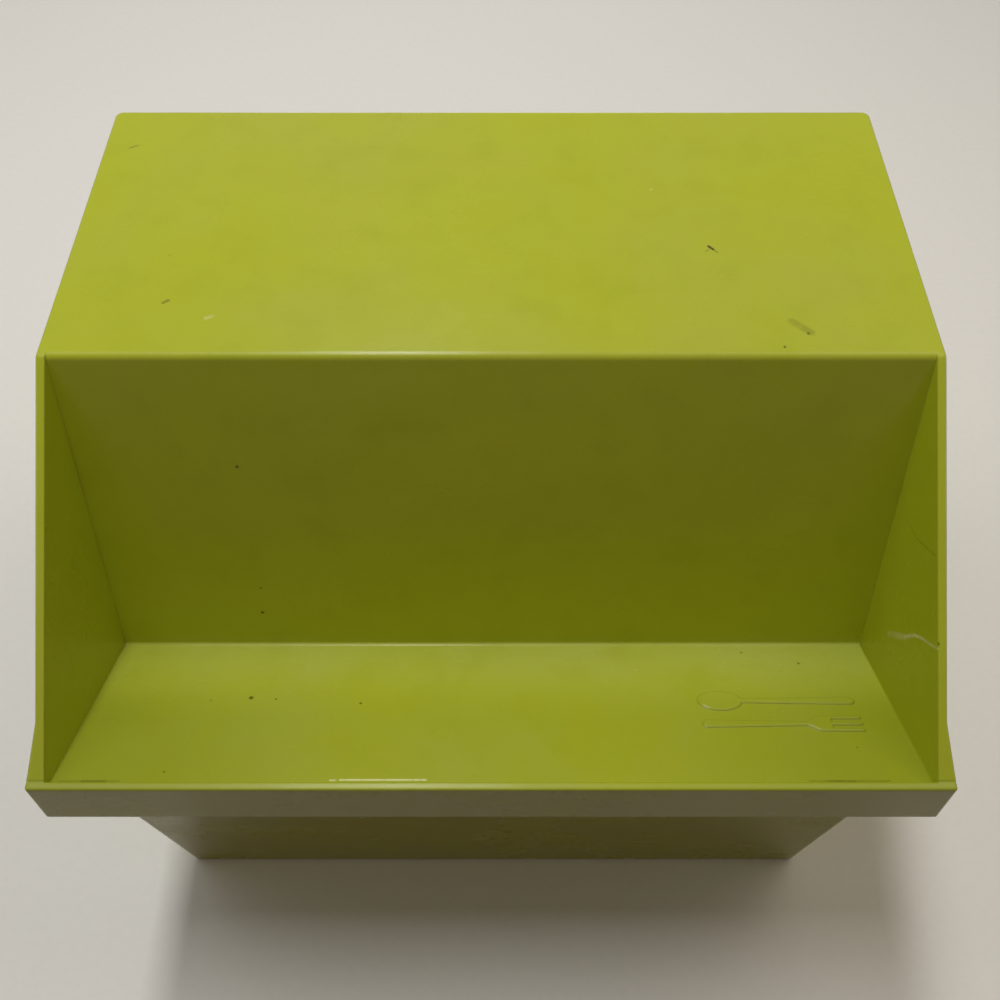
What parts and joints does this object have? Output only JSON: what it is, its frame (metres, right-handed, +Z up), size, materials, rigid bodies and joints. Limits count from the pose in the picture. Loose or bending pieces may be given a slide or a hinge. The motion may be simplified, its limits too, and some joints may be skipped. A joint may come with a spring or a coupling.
{
  "type": "recipe box",
  "caption": "Moulded plastic recipe box: a tapered tub of cards and tabbed dividers under a hinged lid whose sloping front holds an open card for reading.",
  "frame": {"origin": "centre of the whole box in X and Y, at the surface that the box stands on", "axes": "+X to the right seen from the front, -Y towards the front with the card stand, +Z up"},
  "size_m": [0.2554, 0.2094, 0.2125],
  "materials": {
    "green_plastic": "semi-gloss",
    "card_stock": "matte",
    "divider_card": "matte",
    "pin_steel": "drawn wire"
  },
  "bodies": {
    "base": {"base_tub": "green_plastic", "hinge_pin_left": "pin_steel", "hinge_pin_right": "pin_steel", "index_divider_01": "divider_card", "index_divider_02": "divider_card", "index_divider_03": "divider_card", "index_divider_04": "divider_card", "index_divider_05": "divider_card", "index_divider_06": "divider_card", "index_divider_07": "divider_card", "index_divider_08": "divider_card", "index_divider_09": "divider_card", "index_divider_10": "divider_card", "index_divider_11": "divider_card", "index_divider_12": "divider_card", "index_divider_13": "divider_card", "index_divider_14": "divider_card", "recipe_cards_01": "card_stock", "recipe_cards_02": "card_stock", "recipe_cards_03": "card_stock", "recipe_cards_04": "card_stock", "recipe_cards_05": "card_stock", "recipe_cards_06": "card_stock", "recipe_cards_07": "card_stock", "recipe_cards_08": "card_stock", "recipe_cards_09": "card_stock", "recipe_cards_10": "card_stock", "recipe_cards_11": "card_stock", "recipe_cards_12": "card_stock", "recipe_cards_13": "card_stock", "recipe_cards_14": "card_stock"},
    "lid": {"lid_shell": "green_plastic"}
  },
  "joints": [
    {"name": "lid_hinge", "type": "hinge", "parent": "base", "child": "lid", "pos_m": [0, 0.10163, 0.1217], "axis": [-1, 0, 0], "range_deg": [0, 105]}
  ]
}
